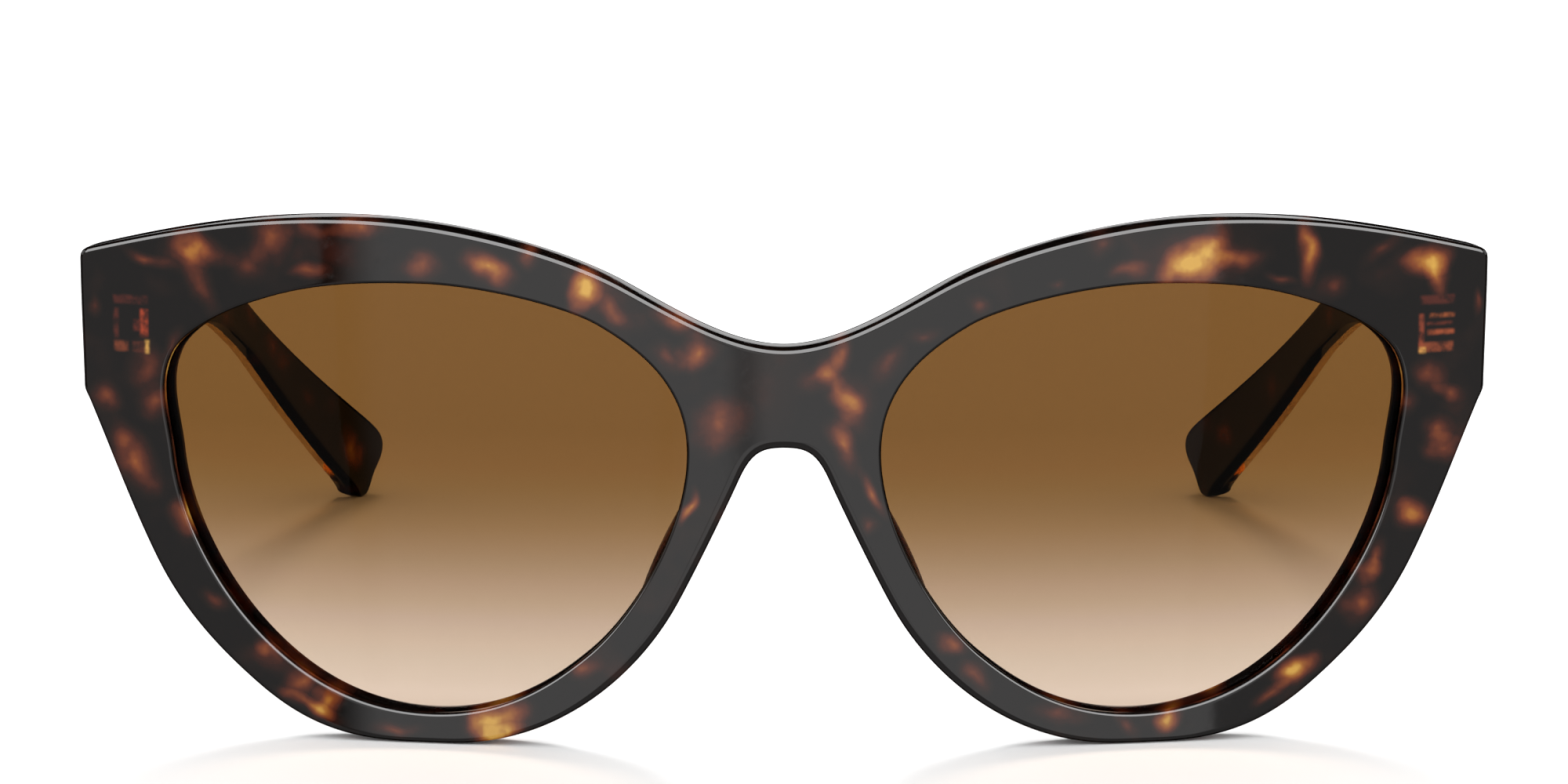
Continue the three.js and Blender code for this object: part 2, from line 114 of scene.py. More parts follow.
# knot = across, up, heading in degrees, reach before it, reach after it
FRONT_KNOTS = [
    (0, 41.9, 0, 0, 5.5), (16.5, 48.3, 28, 6, 7), (45, 54.65, 0, 11, 10), (73.2, 50.5, -14.5, 10, 0.7),
    (74.3, 49.3, -90, 0.7, 4), (74, 35.9, -91, 4, 0.5), (73.4, 34.4, -114, 0.5, 6),
    (66.3, 18.5, -117, 6, 6), (55.2, 5.5, -141, 6, 6), (39, 0, 180, 7, 1), (35, 0, 180, 1, 11),
    (10.95, 15.1, 118.5, 9.2, 3.7), (4.6, 28.1, 114, 3.6, 3.2), (0, 31.5, 180, 2.3, 0),
]
OPENING_KNOTS = [
    (37.5, 48.1, 180, 9.3, 6.3), (19.1, 44.2, 210, 3.8, 4.8), (9.95, 31, 270, 7.2, 8),
    (20.3, 9.7, 320, 6.1, 4.3), (36.5, 3.15, 0, 7.9, 8.6), (55.8, 12, 47, 6.8, 6.2),
    (64.1, 29, 84, 6, 4), (64.1, 39.9, 118, 4, 2.5), (55.9, 45.35, 160, 3, 5.3),
]
TEMPLE_KNOTS = [
    (14, 36.9, -6, 0, 20), (84, 29.6, -7, 20, 6), (99, 25.7, -27, 6, 4), (108, 20.5, -36, 4, 8),
    (132.8, 1.2, -39, 8, 0.8), (134.1, 0, 0, 0.7, 0.3), (134.8, 0, 0, 0.3, 0.9),
    (137, 2.1, 50, 1.3, 1.2), (139.2, 5.4, 92, 1.5, 1.2), (137, 8.2, 143, 1.5, 4),
    (104, 28.5, 148.5, 8, 6), (86, 36.2, 167, 7, 20), (14, 50.2, 169.5, 20, 0),
]

# ---- How finely the surfaces are made ----

FRONT_STEP = 0.45
LENS_STEP = 0.8
TEMPLE_STEP = 0.5
FACE_GRID = 1.6                        # spacing of points inside a flat face
FACE_MARGIN = 1.1                      # the grid stays this far from the face's edge
ROUND_PARTS = 7                        # parts of a quarter round
CROWN_PARTS = 6                        # parts of the front's crowned outer wall
SUPPORT = 0.12                         # a loop this far inside a flat face keeps its edge crisp
CURVE_SAMPLES = 40                     # straight pieces that measure one curve's length
CYLINDER_SIDES = 720
LENS_RINGS = 16
PAD_TURNS, PAD_RINGS = 64, 48
SHARP_ANGLE = math.radians(34)


# ---- Outlines ----

def smoothstep(value, low, high):
    t = min(1.0, max(0.0, (value - low) / (high - low)))
    return t * t * (3 - 2 * t)


def bezier(start, start_reach, end_reach, end, t):
    s = 1 - t
    return start * s ** 3 + start_reach * 3 * s * s * t + end_reach * 3 * s * t * t + end * t ** 3


def heading(knot, length):
    angle = math.radians(knot[2])
    return Vector((math.cos(angle), math.sin(angle))) * length


def outline(knots, step, closed):
    """Points along the curve through the knots, about step apart."""
    points = []
    last = len(knots) if closed else len(knots) - 1
    for i in range(last):
        a, b = knots[i], knots[(i + 1) % len(knots)]
        start, end = Vector(a[:2]), Vector(b[:2])
        reach_a, reach_b = start + heading(a, a[4]), end - heading(b, b[3])
        fine = [bezier(start, reach_a, reach_b, end, k / CURVE_SAMPLES) for k in range(CURVE_SAMPLES + 1)]
        lengths = [0.0]
        for p, q in zip(fine, fine[1:]):
            lengths.append(lengths[-1] + (q - p).length)
        pieces = max(1, round(lengths[-1] / step))
        k = 0
        for j in range(pieces):
            goal = lengths[-1] * j / pieces
            while lengths[k + 1] < goal:
                k += 1
            share = (goal - lengths[k]) / (lengths[k + 1] - lengths[k])
            points.append(fine[k].lerp(fine[k + 1], share))
    return points


def front_outline():
    half = outline(FRONT_KNOTS, FRONT_STEP, False)
    half.append(Vector(FRONT_KNOTS[-1][:2]))
    mirror = [Vector((-p.x, p.y)) for p in half[1:-1]]
    return half + mirror[::-1]


def area(points):
    pairs = zip(points, points[1:] + points[:1])
    return sum(a.x * b.y - b.x * a.y for a, b in pairs) / 2


def everywhere(point):
    return 1.0


def clear_of_corners(point):
    """How much of an edge's roundness a point of the temple gets.

    None at the square butt, which is cut away, a part at the tip's tight lower corner, and all elsewhere.
    """
    from_butt = smoothstep(point.x, TEMPLE_START, TEMPLE_START + BUTT_TRIM)
    from_corner = smoothstep((point - Vector((TIP_CORNER_Y, 0))).length, *TIP_CORNER_REACH)
    return from_butt * (TIP_CORNER_SHARE + (1 - TIP_CORNER_SHARE) * from_corner)


def rounder_at_the_nose(point):
    beside = 1 - smoothstep(abs(point.x), *NOSE_SIDES)
    below = 1 - smoothstep(point.y, *NOSE_TOP)
    return 1 + (NOSE_ROUND_SHARE - 1) * beside * below


def inset(points, distance, share=everywhere):
    """The loop moved sideways, inward for positive distances, whichever way it runs."""
    side = 1 if area(points) > 0 else -1
    moved = []
    for i, p in enumerate(points):
        along = (points[(i + 1) % len(points)] - points[i - 1]).normalized()
        moved.append(p + Vector((-along.y, along.x)) * side * distance * share(p))
    return moved


def inside(point, loop):
    """True if the point is inside the loop."""
    hit = False
    for a, b in zip(loop, loop[1:] + loop[:1]):
        if (a.y > point.y) != (b.y > point.y):
            if point.x < a.x + (b.x - a.x) * (point.y - a.y) / (b.y - a.y):
                hit = not hit
    return hit


# ---- Solids ----

def quarter(face_depth, toward_side, radius):
    """[depth, inset] levels of a quarter round, from the flat face to the side wall."""
    levels = []
    for k in range(ROUND_PARTS + 1):
        angle = math.pi / 2 * k / ROUND_PARTS
        depth = face_depth + toward_side * radius * (1 - math.cos(angle))
        levels.append((depth, radius * (1 - math.sin(angle))))
    return levels


def rounded_edge(near, far, near_round, far_round):
    levels = [(near, near_round + SUPPORT)] + quarter(near, 1, near_round)
    return levels + quarter(far, -1, far_round)[::-1] + [(far, far_round + SUPPORT)]


def crowned_edge(thickness, radius, crown):
    """A rounded edge whose wall bulges a little in its middle."""
    half = thickness / 2 - radius
    ends = crown + WITHIN
    levels = [(0, radius + ends + SUPPORT)]
    levels += [(depth, move + ends) for depth, move in quarter(0, 1, radius)]
    for k in range(1, CROWN_PARTS):
        place = 2 * k / CROWN_PARTS - 1
        levels.append((thickness / 2 + half * place, crown * place * place + WITHIN))
    levels += [(depth, move + ends) for depth, move in quarter(thickness, -1, radius)[::-1]]
    return levels + [(thickness, radius + ends + SUPPORT)]


def plate(shape, holes, edge, rim, share=everywhere):
    """A flat plate (across, depth, up) as a bmesh: walls through the levels, and a grid on both faces."""
    bm = bmesh.new()
    loops = [shape if area(shape) > 0 else shape[::-1]]
    loops += [h if area(h) < 0 else h[::-1] for h in holes]
    ends = ([], [])
    for number, loop in enumerate(loops):
        rings = []
        for depth, move in (edge if number == 0 else rim):
            moved = inset(loop, move, share if number == 0 else everywhere)
            rings.append([bm.verts.new((p.x, depth, p.y)) for p in moved])
        for upper, lower in zip(rings, rings[1:]):
            for i in range(len(loop)):
                j = (i + 1) % len(loop)
                bm.faces.new((upper[i], lower[i], lower[j], upper[j]))
        ends[0].append(rings[0])
        ends[1].append(rings[-1])
    for rings, flip in zip(ends, (False, True)):
        fill_face(bm, rings, flip)
    return bm


def fill_face(bm, rings, flip):
    """Fills between the first ring and the others with even triangles."""
    flat = [[Vector((v.co.x, v.co.z)) for v in ring] for ring in rings]
    depth = rings[0][0].co.y
    points = [p for loop in flat for p in loop]
    owners = [v for ring in rings for v in ring]
    edges = []
    start = 0
    for loop in flat:
        edges += [(start + i, start + (i + 1) % len(loop)) for i in range(len(loop))]
        start += len(loop)
    outer = inset(flat[0], FACE_MARGIN)
    inner = [inset(loop, -FACE_MARGIN) for loop in flat[1:]]
    xs = [p.x for p in flat[0]]
    ys = [p.y for p in flat[0]]
    row_height = FACE_GRID * math.sqrt(0.75)
    rows = int((max(ys) - min(ys)) / row_height) + 1
    columns = int((max(xs) - min(xs)) / FACE_GRID) + 1
    for row in range(rows):
        for column in range(columns):
            x = min(xs) + (column + 0.5 * (row % 2)) * FACE_GRID
            p = Vector((x, min(ys) + row * row_height))
            if inside(p, outer) and not any(inside(p, loop) for loop in inner):
                points.append(p)
                owners.append(bm.verts.new((p.x, depth, p.y)))
    faces = delaunay_2d_cdt(points, edges, [], 0, 1e-7)[2]
    holes = flat[1:]
    for a, b, c in faces:
        middle = (points[a] + points[b] + points[c]) / 3
        if not inside(middle, flat[0]) or any(inside(middle, hole) for hole in holes):
            continue
        corners = (owners[a], owners[c], owners[b]) if flip else (owners[a], owners[b], owners[c])
        bm.faces.new(corners)


def on_front(p):
    """across = arc length from the centre line, depth = behind the outside face."""
    angle = p.x / FRONT_RADIUS
    radius = FRONT_RADIUS - p.y
    return Vector((radius * math.sin(angle), FRONT_RADIUS - radius * math.cos(angle), p.z))


def temple_inner(y):
    bow = max(0.0, y - TEMPLE_BOW_START)
    return TEMPLE_INNER_X - TEMPLE_TAPER * (y - TEMPLE_START) - TEMPLE_BOW * bow * bow


def on_temple(p):
    """across = y along the temple, depth = out from its inner face, before the thinning towards the tip."""
    turn = math.atan(TEMPLE_TAPER + 2 * TEMPLE_BOW * max(0.0, p.x - TEMPLE_BOW_START))
    out = p.y - (1 - TIP_SHARE) * smoothstep(p.x, *THINNING) * min(p.y, INNER_LAYER)
    return Vector((temple_inner(p.x) + out * math.cos(turn), p.x + out * math.sin(turn), p.z))


def to_row(p, side=1):
    return Vector((p.x * side, p.y + FRONT_Y, p.z)) * MM


def finished_mesh(name, bm, place, side=1):
    """An object from a flat bmesh: every point moved by place, then into the row frame."""
    for v in bm.verts:
        v.co = to_row(place(v.co), side)
    bmesh.ops.recalc_face_normals(bm, faces=bm.faces)
    mesh = bpy.data.meshes.new(name)
    bm.to_mesh(mesh)
    bm.free()
    piece = bpy.data.objects.new(name, mesh)
    bpy.context.scene.collection.objects.link(piece)
    smooth(piece)
    return piece


def smooth(piece):
    piece.data.shade_smooth()
    piece.data.set_sharp_from_angle(angle=SHARP_ANGLE)


def cutter(bm, side=1):
    """A throwaway object for cut(), in the row frame, mirrored for the wearer's right."""
    for v in bm.verts:
        v.co = to_row(v.co, side)
    if side < 0:
        bmesh.ops.reverse_faces(bm, faces=bm.faces)
    mesh = bpy.data.meshes.new("cutter")
    bm.to_mesh(mesh)
    bm.free()
    tool = bpy.data.objects.new("cutter", mesh)
    bpy.context.scene.collection.objects.link(tool)
    return tool


def block(x0, x1, y0, y1, z0, z1):
    bm = bmesh.new()
    bmesh.ops.create_cube(bm, size=1)
    middle = Vector((x0 + x1, y0 + y1, z0 + z1)) / 2
    size = Vector((x1 - x0, y1 - y0, z1 - z0))
    for v in bm.verts:
        v.co = Vector(a * b for a, b in zip(v.co, size)) + middle
    return bm


def cut(piece, tool, operation):
    """Applies a boolean with a throwaway cutting object."""
    modifier = piece.modifiers.new("cut", "BOOLEAN")
    modifier.operation = operation
    modifier.solver = "EXACT"
    modifier.object = tool
    graph = bpy.context.evaluated_depsgraph_get()
    mesh = bpy.data.meshes.new_from_object(piece.evaluated_get(graph))
    piece.modifiers.clear()
    piece.data = mesh
    mesh.name = piece.name
    bpy.data.objects.remove(tool)
    smooth(piece)


# ---- Shader helpers ----

def linear(r, g, b):
    """A colour given as 0-255 screen values, as linear RGBA."""
    def channel(value):
        c = value / 255
        return c / 12.92 if c <= 0.04045 else ((c + 0.055) / 1.055) ** 2.4
    return (channel(r), channel(g), channel(b), 1.0)


class Nodes:
    """A material's node tree with short ways to add and link nodes."""

    def __init__(self, name):
        self.material = bpy.data.materials.new(name)
        self.material.use_nodes = True
        self.tree = self.material.node_tree
        self.tree.nodes.clear()
        self.output = self.tree.nodes.new("ShaderNodeOutputMaterial")

    def add(self, kind, settings=None, **inputs):
        node = self.tree.nodes.new(f"ShaderNode{kind}")
        for key, value in (settings or {}).items():
            setattr(node, key, value)
        for key, value in inputs.items():
            self.feed(node.inputs[key.replace("_", " ")], value)
        return node

    def feed(self, socket, value):
        if isinstance(value, bpy.types.NodeSocket):
            self.tree.links.new(value, socket)
        elif isinstance(value, bpy.types.Node):
            self.tree.links.new(value.outputs[0], socket)
        else:
            socket.default_value = value

    def math(self, operation, a, b=0.0, clamp=False):
        node = self.tree.nodes.new("ShaderNodeMath")
        node.operation = operation
        node.use_clamp = clamp
        self.feed(node.inputs[0], a)
        self.feed(node.inputs[1], b)
        return node.outputs[0]

    def spread(self, value, low, high, to_low=0.0, to_high=1.0):
        node = self.add("MapRange", {"interpolation_type": "SMOOTHSTEP"})
        self.feed(node.inputs[0], value)
        for number, setting in enumerate((low, high, to_low, to_high), 1):
            node.inputs[number].default_value = setting
        return node.outputs[0]

    def mix(self, share, a, b):
        node = self.tree.nodes.new("ShaderNodeMix")
        node.data_type = "RGBA"
        self.feed(node.inputs[0], share)
        self.feed(node.inputs[6], a)
        self.feed(node.inputs[7], b)
        return node.outputs[2]

    def ramp(self, value, stops):
        node = self.tree.nodes.new("ShaderNodeValToRGB")
        elements = node.color_ramp.elements
        while len(elements) < len(stops):
            elements.new(0.5)
        for element, (place, colour) in zip(elements, stops):
            element.position = place
            element.color = colour
        self.feed(node.inputs[0], value)
        return node.outputs[0]

    def noise(self, vector, scale, detail=2.0, roughness=0.5, colour=False):
        node = self.add("TexNoise", Scale=scale, Detail=detail, Roughness=roughness)
        self.feed(node.inputs["Vector"], vector)
        return node.outputs["Color" if colour else "Fac"]

    def bump(self, height, strength, distance):
        node = self.add("Bump", Strength=strength, Distance=distance)
        self.feed(node.inputs["Height"], height)
        return node.outputs[0]

    def show(self, shader):
        self.feed(self.output.inputs["Surface"], shader)
        return self.material


# ---- Tortoiseshell ----

# Clouds in the front's acetate: across and up in mm, half length, half width, tilt in degrees, strength.
FRONT_CLOUDS = [
    # the brow on the wearer's right
    (-53.7, 52.3, 1.7, 1.4, 90, 0.6), (-44.1, 53.9, 2.2, 0.8, 0, 0.6), (-63.1, 50.4, 1.6, 1.6, 0, 0.42),
    (-61.3, 51.1, 2.2, 1.1, -20, 0.6), (-61.5, 47.4, 2.4, 0.9, -65, 0.45), (-67.3, 49.6, 2.0, 0.5, -20, 0.5),
    (-56.2, 49.5, 1.4, 1.3, 0, 0.4), (-49.5, 49.0, 1.3, 0.5, 10, 0.5), (-37.4, 50.0, 1.3, 1.0, 0, 0.6),
    (-49.5, 53.5, 1.8, 0.7, 0, 0.35), (-47.4, 51.5, 3.2, 2.2, 0, 0.22), (-30.6, 49.8, 2.2, 1.0, -25, 0.95),
    (-26.5, 51.3, 1.1, 0.9, 90, 0.6), (-20.7, 47.8, 1.7, 1.0, 70, 0.85), (-19.5, 47.4, 2.3, 1.6, -40, 0.35),
    (-17.6, 45.6, 1.4, 0.7, -40, 0.4),
    # the outer side and the lower rim on the wearer's right
    (-67.6, 38.4, 1.3, 1.6, 0, 0.5), (-72.1, 34.9, 1.1, 1.3, 0, 0.5), (-66.1, 34.5, 1.5, 1.3, 0, 0.5),
    (-69.1, 28.5, 2.6, 1.4, -65, 0.65), (-62.9, 23.1, 1.5, 1.5, 0, 0.9), (-73.4, 44.2, 0.4, 0.9, 0, 0.35),
    (-64.6, 41.1, 1.3, 0.5, 60, 0.35), (-60.0, 14.2, 1.3, 0.7, -20, 0.45), (-54.4, 9.8, 1.1, 0.5, -30, 0.4),
    (-50.4, 5.9, 1.7, 1.1, 40, 0.6), (-47.9, 4.1, 1.7, 1.0, 50, 0.9), (-52.9, 8.2, 2.2, 1.1, -40, 0.3),
    (-49.7, 3.4, 2.4, 0.5, -25, 0.55), (-40.7, 1.6, 1.8, 0.6, 0, 0.5), (-30.2, 2.8, 2.1, 1.5, 30, 0.9),
    (-31.0, 1.9, 1.1, 1.5, 0, 0.4), (-27.9, 3.9, 1.2, 1.2, 0, 0.35), (-29.0, 1.6, 1.5, 0.6, 15, 0.7),
    (-20.5, 8.5, 1.2, 0.7, 30, 0.45),
    # the bridge and the sides of the nose
    (-11.0, 44.8, 1.9, 0.9, -30, 0.7), (-12.2, 41.1, 1.3, 0.9, -35, 0.4), (-8.8, 41.4, 1.5, 1.1, 20, 0.6),
    (-6.8, 34.2, 2.4, 1.7, 40, 0.62), (-9.8, 25.6, 1.3, 0.4, 70, 0.8), (-1.8, 37.9, 2.2, 3.2, 0, 0.2),
    (5.9, 41.8, 1.3, 0.8, 90, 0.62), (4.6, 40.2, 1.3, 0.9, 45, 0.3), (4.0, 39.0, 1.8, 1.0, 20, 0.42),
    (5.8, 37.5, 1.9, 0.9, -45, 0.42), (7.2, 36.7, 1.8, 1.4, 80, 0.42), (7.0, 34.6, 1.7, 1.3, 80, 0.4),
    (6.0, 31.8, 2.0, 0.8, -60, 0.65), (11.0, 40.2, 1.6, 0.8, 50, 0.45), (14.4, 43.4, 1.2, 0.5, 20, 0.35),
    (9.2, 26.9, 1.7, 0.5, -65, 0.7), (8.8, 23.6, 0.7, 0.7, 0, 0.4), (17.3, 11.1, 1.2, 0.8, -30, 0.65),
    (19.8, 7.7, 1.4, 0.7, -45, 0.55),
    # the brow on the wearer's left
    (20.2, 46.6, 1.0, 0.7, -40, 0.4), (28.5, 48.7, 0.6, 0.4, 0, 0.35), (32.8, 52.6, 1.0, 1.0, 0, 0.4),
    (35.7, 49.6, 1.2, 0.7, 0, 0.45), (42.6, 50.2, 2.6, 1.4, 18, 0.85), (42.0, 50.6, 4.2, 2.2, 12, 0.42),
    (45.1, 53.2, 1.7, 0.8, 75, 0.35), (47.4, 50.2, 1.6, 0.8, 0, 0.35), (54.7, 51.2, 2.2, 0.8, 90, 0.95),
    (57.7, 47.4, 1.1, 1.0, 0, 0.4), (52.0, 48.1, 1.1, 0.4, -12, 0.4), (68.1, 49.6, 1.7, 1.1, 20, 0.9),
    (69.1, 47.8, 1.7, 0.8, -75, 0.7), (63.1, 50.9, 1.7, 0.6, 35, 0.35),
    # the outer side and the lower rim on the wearer's left
    (68.2, 37.5, 1.2, 1.3, 0, 0.45), (70.5, 35.5, 1.2, 0.5, -20, 0.4), (65.4, 34.6, 0.9, 0.9, 0, 0.45),
    (69.2, 31.7, 1.2, 1.0, 0, 0.5), (69.9, 29.6, 1.4, 1.0, 0, 0.55), (66.7, 22.9, 1.3, 1.1, 0, 0.9),
    (73.5, 44.8, 0.9, 0.3, 90, 0.5), (62.6, 18.8, 1.5, 0.8, 80, 0.5), (61.5, 17.2, 1.3, 0.8, 10, 0.55),
    (60.9, 13.9, 1.7, 1.2, 60, 0.6), (54.1, 7.2, 1.7, 0.9, 38, 0.9), (51.0, 4.6, 1.5, 0.5, 30, 0.6),
    (40.4, 2.5, 1.2, 0.8, 50, 0.95), (44.9, 5.0, 1.2, 0.6, 15, 0.5), (36.1, 1.8, 1.3, 0.5, -50, 0.45),
    (28.6, 3.5, 2.1, 0.7, -12, 0.5),
]
# The same in the temples' dark layer, by side: along (y) and up in mm.
TEMPLE_CLOUDS = {
    "right": [
        (95, 28.7, 2.4, 1.2, -30, 0.5), (104, 27.2, 2.2, 1.0, -30, 0.6), (111, 21.9, 2.4, 1.3, -35, 0.55),
        (115, 19.6, 1.6, 1.2, 0, 0.45), (106, 20.9, 1.6, 1.0, 0, 0.4), (121, 14.4, 1.8, 1.0, -30, 0.45),
        (127, 12.3, 1.6, 1.0, -30, 0.3), (131.4, 6.4, 2.0, 1.4, -60, 0.85), (133.6, 5.0, 1.5, 1.0, 20, 0.45),
        (133.5, 1.3, 1.4, 0.6, 0, 0.34), (34, 41.5, 3.5, 1.6, -10, 0.5), (48, 39.0, 3.0, 1.5, -20, 0.6),
        (62, 39.5, 3.0, 1.4, -15, 0.5), (76, 35.5, 3.0, 1.4, -30, 0.45),
    ],
    "left": [
        (100, 27.7, 2.2, 1.2, -30, 0.5), (118, 16.0, 2.0, 1.2, -30, 0.42), (130, 8.2, 1.5, 1.0, -20, 0.55),
        (134, 8.8, 1.3, 0.9, 0, 0.34), (36, 40.5, 3.5, 1.6, -10, 0.5), (52, 39.5, 3.0, 1.5, -20, 0.5),
        (70, 37.0, 3.0, 1.4, -25, 0.45), (88, 33.0, 2.6, 1.3, -30, 0.45),
    ],
}
CLOUD_SPREAD = 1.9                     # a cloud fades out at this many times its half size
CLOUD_REACH = 40.0                     # half size of a cloud across its layer
CLOUD_WARP = 2 * MM                    # how far the whole swing of the noise moves the clouds
CLOUD_WARP_SCALE = 260.0

# The acetate's colour by how dense a cloud is.
TORTOISE_RAMP = [
    (0.0, (0.0030, 0.0019, 0.0016, 1)), (0.12, (0.008, 0.0038, 0.0026, 1)), (0.25, linear(42, 18, 12)),
    (0.42, linear(80, 36, 22)), (0.6, linear(118, 60, 30)), (0.8, linear(154, 98, 40)),
    (1.0, linear(194, 150, 68)),
]
ACETATE_IOR = 1.48


def cloud_field(nodes, place, clouds):
    """The sum of soft clouds, each given as its centre, turn, half sizes and strength."""
    field = 0.0
    for centre, turn, size, strength in clouds:
        kind = {"vector_type": "TEXTURE"}
        mapping = nodes.add("Mapping", kind, Location=centre, Rotation=turn, Scale=size)
        nodes.feed(mapping.inputs["Vector"], place)
        ball = nodes.add("TexGradient", {"gradient_type": "SPHERICAL"})
        nodes.feed(ball.inputs[0], mapping)
        field = nodes.math("ADD", nodes.math("MULTIPLY", ball.outputs["Fac"], strength), field)
    return field


def cloud_size(length, width):
    """Along, through the layer and across, in metres."""
    return length * CLOUD_SPREAD * MM, CLOUD_REACH * MM, width * CLOUD_SPREAD * MM


def front_cloud(across, up, length, width, tilt, strength):
    spot = to_row(on_front(Vector((across, FRONT_THICKNESS / 2, up))))
    return spot, (0, -math.radians(tilt), 0), cloud_size(length, width), strength


def temple_cloud(side, along, up, length, width, tilt, strength):
    spot = to_row(Vector((temple_inner(along), along, up)), SIDES[side])
    length_across, reach, width_across = cloud_size(length, width)
    return spot, (math.radians(tilt), 0, 0), (reach, length_across, width_across), strength


def warped_place(nodes):
    """Object coordinates, and the same moved about by noise, which gives the clouds flowing edges."""
    place = nodes.add("TexCoord").outputs["Object"]
    swirl = nodes.noise(place, CLOUD_WARP_SCALE, 1.0, 0.5, colour=True)
    middle = nodes.add("VectorMath", {"operation": "SUBTRACT"})
    nodes.feed(middle.inputs[0], swirl)
    middle.inputs[1].default_value = (0.5, 0.5, 0.5)
    sized = nodes.add("VectorMath", {"operation": "MULTIPLY_ADD"})
    nodes.feed(sized.inputs[0], middle)
    sized.inputs[1].default_value = (CLOUD_WARP, CLOUD_WARP, CLOUD_WARP)
    nodes.feed(sized.inputs[2], place)
    return place, sized.outputs[0]


def tortoise_colour(nodes, density, place):
    """Dark brown, through red-brown and amber to yellow, with faint clouds of its own everywhere."""
    drift = nodes.spread(nodes.noise(place, 150.0, 2.0, 0.5), 0.52, 0.78, 0.0, 0.2)
    mottle = nodes.spread(nodes.noise(place, 520.0, 2.0, 0.5), 0.3, 0.7, 0.86, 1.1)
    whole = nodes.math("MULTIPLY", nodes.math("ADD", density, drift), mottle, clamp=True)
    return nodes.ramp(whole, TORTOISE_RAMP)


def polished(nodes, colour, place, roughness=0.055):
    """Polished acetate: glossy, with faint polishing waves and tiny scuffs in the roughness."""
    waves = nodes.noise(place, 60.0, 2.0)
    scuffs = nodes.noise(place, 900.0, 3.0, 0.65)
    rough = nodes.spread(scuffs, 0.45, 0.85, roughness * 0.8, roughness * 2.2)
    shader = nodes.add("BsdfPrincipled")
    nodes.feed(shader.inputs["Base Color"], colour)
    nodes.feed(shader.inputs["Roughness"], rough)
    nodes.feed(shader.inputs["Normal"], nodes.bump(waves, 0.02, 0.0004))
    shader.inputs["IOR"].default_value = ACETATE_IOR
    return shader


def window(nodes, axis_value, low, high, soft):
    """1 between low and high, with soft edges."""
    rise = nodes.spread(axis_value, low - soft, low + soft)
    fall = nodes.spread(axis_value, high - soft, high + soft)
    return nodes.math("SUBTRACT", rise, fall, clamp=True)


# Painted light: bars of colour that stand in for light shining through the acetate between the hinge's
# barrels: from and to across, from and to up in mm, colour.
PAINTED_HINGE_BARS = [
    (-69.2, -65.6, 44.8, 45.7, (76, 30, 22)), (-66.4, -65.6, 41.4, 44.3, (172, 66, 36)),
    (-67.1, -66.4, 42.0, 43.2, (96, 36, 24)), (-69.2, -68.7, 41.2, 44.3, (84, 34, 24)),
    (-69.2, -67.7, 39.8, 40.9, (120, 58, 34)), (-67.2, -65.8, 39.8, 40.9, (92, 42, 28)),
    (-65.9, -65.5, 39.7, 41.1, (222, 168, 84)),
    (65.6, 69.2, 44.8, 45.7, (84, 34, 24)), (66.6, 69.2, 43.4, 43.8, (170, 88, 46)),
    (66.3, 69.0, 42.6, 42.9, (100, 42, 26)), (66.4, 69.2, 41.6, 42.1, (160, 76, 42)),
    (65.5, 66.0, 39.8, 43.8, (140, 62, 38)), (65.5, 69.1, 39.8, 40.8, (138, 66, 38)),
    (65.5, 66.2, 39.7, 40.3, (222, 168, 84)),
]
BAR_EDGE = 0.22 * MM                   # softness of these bars' edges

# Painted light: where the walls of the lens openings are made lighter, standing in for light that comes
# through them, in mm from the middle and up.
WALL_ACROSS = (24, 69)
WALL_TOP = (44, 48)                    # it fades out upward between these
CORNER_ACROSS = (60, 64)               # the outer corners get more, outward of these
CORNER_UP = (36, 43)
CORNER_GLOW = 0.6                      # how much more


def painted_hinge_light(nodes, place, colour):
    """The colour with the painted light of the bars over it, each broken up by noise."""
    parts = nodes.add("SeparateXYZ")
    nodes.feed(parts.inputs[0], place)
    patches = nodes.spread(nodes.noise(place, 900.0, 2.0), 0.3, 0.65, 0.12, 0.7)
    for x0, x1, z0, z1, shade in PAINTED_HINGE_BARS:
        across = window(nodes, parts.outputs["X"], x0 * MM, x1 * MM, BAR_EDGE)
        up = window(nodes, parts.outputs["Z"], z0 * MM, z1 * MM, BAR_EDGE)
        share = nodes.math("MULTIPLY", nodes.math("MULTIPLY", across, up), patches)
        colour = nodes.mix(share, colour, linear(*shade))
    return colour


def painted_rim_wall_light(nodes, place):
    """How much painted light goes on the walls of the lens openings, standing in for light they let through,
    patchy along the wall.
    """
    parts = nodes.add("SeparateXYZ")
    nodes.feed(parts.inputs[0], place)
    axis = nodes.math("SUBTRACT", parts.outputs["Y"], (FRONT_Y + FRONT_RADIUS) * MM)
    squares = nodes.math("ADD", nodes.math("POWER", parts.outputs["X"], 2.0), nodes.math("POWER", axis, 2.0))
    depth = nodes.math("SUBTRACT", FRONT_RADIUS * MM, nodes.math("SQRT", squares))
    behind = nodes.spread(depth, RIM_ROUND * MM, 2 * RIM_ROUND * MM)
    from_middle = nodes.math("ABSOLUTE", parts.outputs["X"])
    across = window(nodes, from_middle, WALL_ACROSS[0] * MM, WALL_ACROSS[1] * MM, 3 * MM)
    below = nodes.spread(parts.outputs["Z"], WALL_TOP[0] * MM, WALL_TOP[1] * MM, 1.0, 0.0)
    wall = nodes.math("MULTIPLY", nodes.math("MULTIPLY", behind, across), below)
    patches = nodes.spread(nodes.noise(place, 170.0, 2.0), 0.38, 0.66, 0.1, 0.42)
    outer = nodes.spread(from_middle, CORNER_ACROSS[0] * MM, CORNER_ACROSS[1] * MM)
    beside = window(nodes, parts.outputs["Z"], CORNER_UP[0] * MM, CORNER_UP[1] * MM, 2 * MM)
    corner = nodes.math("MULTIPLY", nodes.math("MULTIPLY", outer, beside), CORNER_GLOW)
    return nodes.math("MULTIPLY", wall, nodes.math("ADD", patches, corner))


